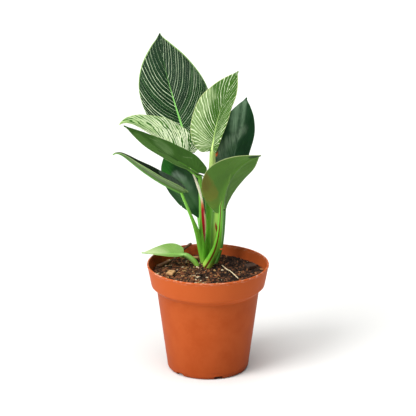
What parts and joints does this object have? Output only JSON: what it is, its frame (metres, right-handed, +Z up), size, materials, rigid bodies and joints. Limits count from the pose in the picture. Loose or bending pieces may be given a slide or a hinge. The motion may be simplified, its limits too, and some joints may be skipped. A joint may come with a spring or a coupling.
{
  "type": "potted plant",
  "caption": "Young philodendron with striped and plain pointed leaves on slim stalks, planted in a round, tapered plastic nursery pot with a banded rim and drain holes.",
  "frame": {"origin": "centre of the pot's underside, on the surface it stands on", "axes": "+Z up along the pot's axis, +X to the right seen from the front, the front looks along -Y"},
  "size_m": [0.1366, 0.1448, 0.2836],
  "materials": {
    "pot_plastic": "satin moulded plastic",
    "potting_mix": "matt, crumbly",
    "stalk": "satin, fleshy",
    "dry_sheath": "satin, papery",
    "leaf_dark": "glossy",
    "leaf_striped": "glossy",
    "leaf_cream": "glossy",
    "leaf_olive": "satin",
    "leaf_young": "satin",
    "bark_tan": "matt",
    "bark_brown": "matt",
    "root_cream": "matt"
  },
  "bodies": {
    "root": {"pot": "pot_plastic", "soil": "potting_mix", "stems": "stalk", "sheath": "dry_sheath", "leaf_tall_back": "leaf_dark", "leaf_striped_front": "leaf_striped", "leaf_cream_left": "leaf_cream", "leaf_olive_left": "leaf_olive", "leaf_narrow_left": "leaf_olive", "leaf_front_right": "leaf_olive", "leaf_dark_right": "leaf_dark", "leaf_low_left": "leaf_dark", "leaf_small_base": "leaf_young", "bark_chip_front": "bark_tan", "bark_chip_back": "bark_tan", "bark_chip_right": "bark_brown", "bark_stick_left": "bark_brown", "twig_back": "bark_brown", "root_fibre": "root_cream"}
  },
  "joints": []
}
